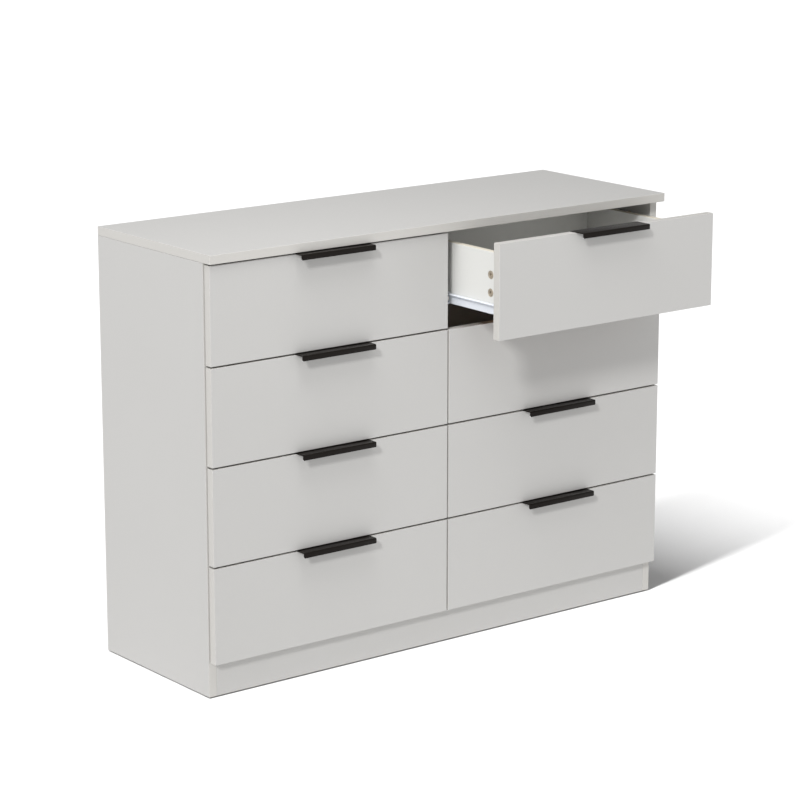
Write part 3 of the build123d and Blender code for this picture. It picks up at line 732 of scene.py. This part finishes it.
def add_sun(name, azimuth, elevation, strength, spread):
    """A far light that shines from an azimuth about the chest and an elevation."""
    sun = add_lamp(name, "SUN", strength)
    sun.data.angle = spread
    sun.rotation_euler = (math.pi / 2 - elevation, 0, azimuth)
    return sun


def add_softbox(place, aim, power, side):
    """A square softbox at a place, turned to its aim."""
    box = add_lamp("softbox", "AREA", power)
    box.data.size = side
    box.location = place
    box.rotation_euler = (aim - box.location).to_track_quat("-Z", "Y").to_euler()
    return box


def linked(name, things, link):
    """A collection of things for a lamp to take alone, INCLUDE, or to leave out, EXCLUDE."""
    chosen = bpy.data.collections.new(name)
    for thing in things:
        chosen.objects.link(thing)
    for member in chosen.collection_objects:
        member.light_linking.link_state = link
    return chosen


# --- Settings ---
def size_setting(name, description, default_mm):
    """A length that the user can change, given in millimetres."""
    return bpy.props.FloatProperty(name=name, description=description, default=default_mm * MM,
                                   min=0, unit="LENGTH", precision=5)


def share_setting(name, description, default):
    """A number from 0 to 1 that the user can change."""
    return bpy.props.FloatProperty(name=name, description=description, default=default,
                                   min=0, max=1)


def strength_setting(name, description, default):
    """A light's strength that the user can change."""
    return bpy.props.FloatProperty(name=name, description=description, default=default, min=0)


def angle_setting(name, description, degrees):
    """An angle that the user can change."""
    return bpy.props.FloatProperty(name=name, description=description, subtype="ANGLE",
                                   default=math.radians(degrees))


def colour_setting(name, description, hex_colour):
    """A colour that the user can change, given in sRGB."""
    return bpy.props.FloatVectorProperty(name=name, description=description, subtype="COLOR",
                                         size=4, min=0, max=1, default=linear(hex_colour))


class BoardSettings(bpy.types.PropertyGroup):
    """Finish of the melamine and hardboard boards."""
    face_colour: colour_setting("Facing", "Melamine of the carcass and the fronts", "#B6B5B3")
    band_colour: colour_setting("Banding", "Banding on the edges of those boards", "#B9B7B3")
    box_colour: colour_setting("Box facing", "Melamine of the drawer boxes", "#CECECB")
    box_band_colour: colour_setting("Box banding", "Banding on the boxes' top edges", "#CDC7B9")
    lacquer_colour: colour_setting("Lacquer", "Good face of the hardboard", "#E8E7E4")
    cloud_mm: bpy.props.FloatProperty(
        name="Print cloud", description="Size of the print's soft clouds, in mm", default=140,
        min=1)
    cloud_depth: share_setting("Print depth", "How much darker the clouds are", 0.025)
    pearl_mm: bpy.props.FloatProperty(
        name="Pearl", description="Spacing of the pressed pearl, in mm", default=1.6, min=0.1)
    roughness: share_setting("Roughness", "Roughness of the satin melamine", 0.42)


class PullSettings(bpy.types.PropertyGroup):
    """Shape and finish of the folded pulls."""
    colour: colour_setting("Coat", "Powder coat of the pulls", "#130F0C")
    roughness: share_setting("Roughness", "Roughness of the powder coat", 0.3)
    sheet: size_setting("Sheet", "Thickness of the folded sheet", 1.5)
    lip: size_setting("Lip", "Height of the lip below the top edge of the front", 8)
    bend: size_setting("Bend", "Inner radius of the folds", 0.9)
    corner: size_setting("Corner", "Radius of the sheet's corners", 1.8)
    edge: size_setting("Edge", "Radius of the deburred edges under the coat", 0.25)


class MetalSettings(bpy.types.PropertyGroup):
    """Finish of the runners."""
    coat_colour: colour_setting("Coat", "Epoxy coat of the runners", "#D3D7DE")
    coat_roughness: share_setting("Roughness", "Roughness of the epoxy coat", 0.35)


class StudioSettings(bpy.types.PropertyGroup):
    """Camera and light."""
    azimuth: angle_setting("Azimuth", "Camera's angle about the chest, 0 from the front", -37.71)
    elevation: angle_setting("Elevation", "Camera's angle above the level", 13.637)
    distance: bpy.props.FloatProperty(
        name="Distance", description="Camera's distance from its aim", default=5.332,
        unit="LENGTH")
    aim: bpy.props.FloatVectorProperty(
        name="Aim", description="Point that the camera looks at", size=3,
        default=(0.0222, 0.0, 0.4209), subtype="TRANSLATION")
    lens: bpy.props.FloatProperty(
        name="Lens", description="Focal length in millimetres", default=130.1)
    sky: share_setting("Sky", "Strength of the even surround that fills the shadows", 0.35)
    strip: strength_setting("Strip", "Strength of the tall strip that lights the floor", 4.3)
    strip_azimuth: angle_setting("Strip azimuth", "The strip's angle about the chest", -75.5)
    key: strength_setting("Key", "Strength of the light from the upper left", 1.95)
    key_azimuth: angle_setting("Key azimuth", "The key's angle about the chest", -54)
    key_elevation: angle_setting("Key elevation", "The key's angle above the level", 31)
    overhead: strength_setting("Overhead", "Strength of the broad light above", 0.9)
    fill: strength_setting("Fill", "Strength of the broad light on the right", 0.3)
    lamp: bpy.props.FloatProperty(
        name="Lamp", description="Power of the near softbox, in watts", default=14, min=0)
    lamp_place: bpy.props.FloatVectorProperty(
        name="Lamp place", description="Middle of the near softbox", size=3,
        default=(-0.65, -0.5, 2.1), subtype="TRANSLATION")
    floor_size: bpy.props.FloatProperty(
        name="Floor", description="Side of the paper sheet", default=60, unit="LENGTH")


# --- Operators ---
class DRESSER_OT_boards(bpy.types.Operator):
    """Finish the carcass boards, the fronts and the back panel"""
    bl_idname = "dresser.boards"
    bl_label = "Carcass boards and fronts"

    def execute(self, context):
        settings = context.scene.dresser_boards
        for axis, names in (("X", UPRIGHT_BOARDS), ("Y", FACING_BOARDS), ("Z", LEVEL_BOARDS)):
            finish = melamine(f"pressed melamine {axis}", settings, settings.face_colour,
                              settings.band_colour, (axis, "LESS_THAN", 0.5))
            for name in names:
                finish_node(name, finish)
        finish_node("back_panel", hardboard("lacquered hardboard back", settings.lacquer_colour,
                                            "Y", "LESS_THAN", -0.5))
        return {"FINISHED"}


class DRESSER_OT_boxes(bpy.types.Operator):
    """Finish the drawer boxes and their bottoms"""
    bl_idname = "dresser.boxes"
    bl_label = "Drawer boxes"

    def execute(self, context):
        settings = context.scene.dresser_boards
        boards = melamine("pressed melamine box", settings, settings.box_colour,
                          settings.box_band_colour, ("Z", "GREATER_THAN", 0.5))
        bottoms = hardboard("lacquered hardboard bottom", settings.lacquer_colour, "Z",
                            "GREATER_THAN", 0.5)
        for drawer in DRAWERS:
            finish_node(f"{drawer}_box", boards)
            finish_node(f"{drawer}_bottom", bottoms)
        return {"FINISHED"}


class DRESSER_OT_pulls(bpy.types.Operator):
    """Fold a pull for each drawer front"""
    bl_idname = "dresser.pulls"
    bl_label = "Pulls"

    def execute(self, context):
        settings = context.scene.dresser_pulls
        coat = coated_steel("powder-coated steel", settings.colour, settings.roughness,
                            gloss_level=0.1, peel_mm=1.2, peel_strength=0.25)
        tree = folded_pull_tree(coat)
        for drawer in DRAWERS:
            low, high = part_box(f"{drawer}_pull")
            plate = high.z - settings.sheet
            piece = new_object(f"{drawer}_folded_pull")
            add_tree(piece, tree, {
                "Left": low.x, "Width": high.x - low.x, "Back": high.y - settings.sheet,
                "Front": low.y + settings.sheet, "Leg foot": low.z, "Plate": plate,
                "Lip foot": plate - settings.lip, "Sheet": settings.sheet, "Bend": settings.bend})
            freeze(piece)
            round_corners(piece, low, high, settings.sheet, settings.corner)
            edges = piece.modifiers.new("deburred edges", "BEVEL")
            edges.width = settings.edge
            edges.segments = EDGE_STEPS
            edges.limit_method = "ANGLE"
            edges.angle_limit = DEBURR_ABOVE
            freeze(piece)
            smooth(piece)
            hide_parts(f"{drawer}_pull")
            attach(piece, drawer)
        return {"FINISHED"}


class DRESSER_OT_runners(bpy.types.Operator):
    """Finish the roller runners"""
    bl_idname = "dresser.runners"
    bl_label = "Runners"

    def execute(self, context):
        settings = context.scene.dresser_metal
        coat = coated_steel("epoxy-coated steel", settings.coat_colour, settings.coat_roughness,
                            gloss_level=0.5, peel_mm=2.0, peel_strength=0.15)
        finish_node("carcass_runners", coat)
        for drawer in DRAWERS:
            finish_node(f"{drawer}_runners", coat)
        finish_node("carcass_rollers", moulded_nylon())
        return {"FINISHED"}


class DRESSER_OT_fasteners(bpy.types.Operator):
    """Set the cams, bolts, screws and dowels in their bores"""
    bl_idname = "dresser.fasteners"
    bl_label = "Fasteners"

    def execute(self, context):
        zinc = cast_zinc()
        steel = plated_steel()
        models = [(cam_model("carcass cam", CAM_DEPTH), zinc),
                  (cam_model("drawer cam", DRAWER_CAM_DEPTH), zinc),
                  (screw_head_model(), steel), (rod_model(), steel)]
        dowels = [(dowel_model(DOWEL_LENGTH), turned_beech())]
        wanted = [(CARCASS, "carcass_fasteners", carcass_fasteners(), "carcass_fittings")]
        wanted += [(drawer, f"{drawer}_fasteners", drawer_fasteners(drawer), f"{drawer}_fittings")
                   for drawer in DRAWERS]
        for body, name, points, node in wanted:
            piece = set_on_points(name, points, models)
            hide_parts(node)
            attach(piece, body)
        piece = set_on_points("fluted_dowels", carcass_dowels(), dowels)
        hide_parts("dowels")
        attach(piece, CARCASS)
        for model, _ in models + dowels:
            bpy.data.objects.remove(model)
        return {"FINISHED"}


class DRESSER_OT_studio(bpy.types.Operator):
    """Lay the paper floor and set the light and the camera"""
    bl_idname = "dresser.studio"
    bl_label = "Studio"

    def execute(self, context):
        settings = context.scene.dresser_studio
        scene = context.scene
        scene.view_settings.view_transform = "Standard"
        scene.world = white_surround(settings.sky)

        half = settings.floor_size / 2
        floor = new_object("floor")
        corners = [(-half, -half), (half, -half), (half, half), (-half, half)]
        floor.data.from_pydata([(x, y, -GLIDE_HEIGHT) for x, y in corners], [], [(0, 1, 2, 3)])
        floor.data.materials.append(studio_floor())

        aim = Vector(settings.aim)
        paper_only = linked("paper", [floor], "INCLUDE")
        all_but_paper = linked("all but the paper", [floor], "EXCLUDE")
        # The strip throws no drawer's shadow, so that an open drawer leaves the paper clean
        drawer_pieces = [piece for piece in scene.objects
                         if any(piece.name.startswith(drawer) for drawer in DRAWERS)]
        all_but_drawers = linked("all but the drawers", drawer_pieces, "EXCLUDE")
        for elevation in STRIP_ELEVATIONS:
            part = add_sun("strip", settings.strip_azimuth, elevation,
                           settings.strip / len(STRIP_ELEVATIONS), STRIP_SPREAD)
            part.light_linking.receiver_collection = paper_only
            part.light_linking.blocker_collection = all_but_drawers
        chest_lamps = [
            add_sun("key", settings.key_azimuth, settings.key_elevation, settings.key,
                    KEY_SPREAD),
            add_sun("overhead", settings.key_azimuth, OVERHEAD_ELEVATION, settings.overhead,
                    OVERHEAD_SPREAD),
            add_sun("fill", FILL_AZIMUTH, FILL_ELEVATION, settings.fill, FILL_SPREAD),
            add_softbox(settings.lamp_place, aim, settings.lamp, SOFTBOX_SIDE)]
        for lamp in chest_lamps:
            lamp.light_linking.receiver_collection = all_but_paper

        turned = (Matrix.Rotation(settings.azimuth, 3, "Z")
                  @ Matrix.Rotation(-settings.elevation, 3, "X"))
        camera_data = bpy.data.cameras.new("camera")
        camera_data.lens = settings.lens
        camera_data.sensor_width = SENSOR_MM
        camera_data.clip_end = FAR_CLIP
        camera = bpy.data.objects.new("camera", camera_data)
        camera.location = aim + turned @ FORWARD * settings.distance
        camera.rotation_euler = (math.pi / 2 - settings.elevation, 0, settings.azimuth)
        scene.collection.objects.link(camera)
        scene.camera = camera
        return {"FINISHED"}


class DRESSER_PT_panel(bpy.types.Panel):
    """The steps that dress the chest, in order"""
    bl_label = "Dresser"
    bl_space_type = "VIEW_3D"
    bl_region_type = "UI"
    bl_category = "Dresser"

    def draw(self, context):
        for step in STEPS:
            self.layout.operator(step.bl_idname)
        for place in SETTINGS:
            group = getattr(context.scene, place)
            box = self.layout.box()
            for name in group.bl_rna.properties.keys():
                if name not in ("rna_type", "name"):
                    box.prop(group, name)


STEPS = (DRESSER_OT_boards, DRESSER_OT_boxes, DRESSER_OT_pulls, DRESSER_OT_runners,
         DRESSER_OT_fasteners, DRESSER_OT_studio)
SETTINGS = {"dresser_boards": BoardSettings, "dresser_pulls": PullSettings,
            "dresser_metal": MetalSettings, "dresser_studio": StudioSettings}


def register():
    """Register the classes and hang their settings on the scene."""
    for group in (*SETTINGS.values(), *STEPS, DRESSER_PT_panel):
        bpy.utils.register_class(group)
    for place, group in SETTINGS.items():
        setattr(bpy.types.Scene, place, bpy.props.PointerProperty(type=group))


def unregister():
    """Take the settings off the scene and unregister the classes."""
    for place in SETTINGS:
        delattr(bpy.types.Scene, place)
    for group in reversed((*SETTINGS.values(), *STEPS, DRESSER_PT_panel)):
        bpy.utils.unregister_class(group)


def main():
    """Dress the chest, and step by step."""
    register()
    for step in STEPS:
        group, action = step.bl_idname.split(".")
        getattr(getattr(bpy.ops, group), action)()
    bpy.context.view_layer.update()


if __name__ == "__main__":
    main()
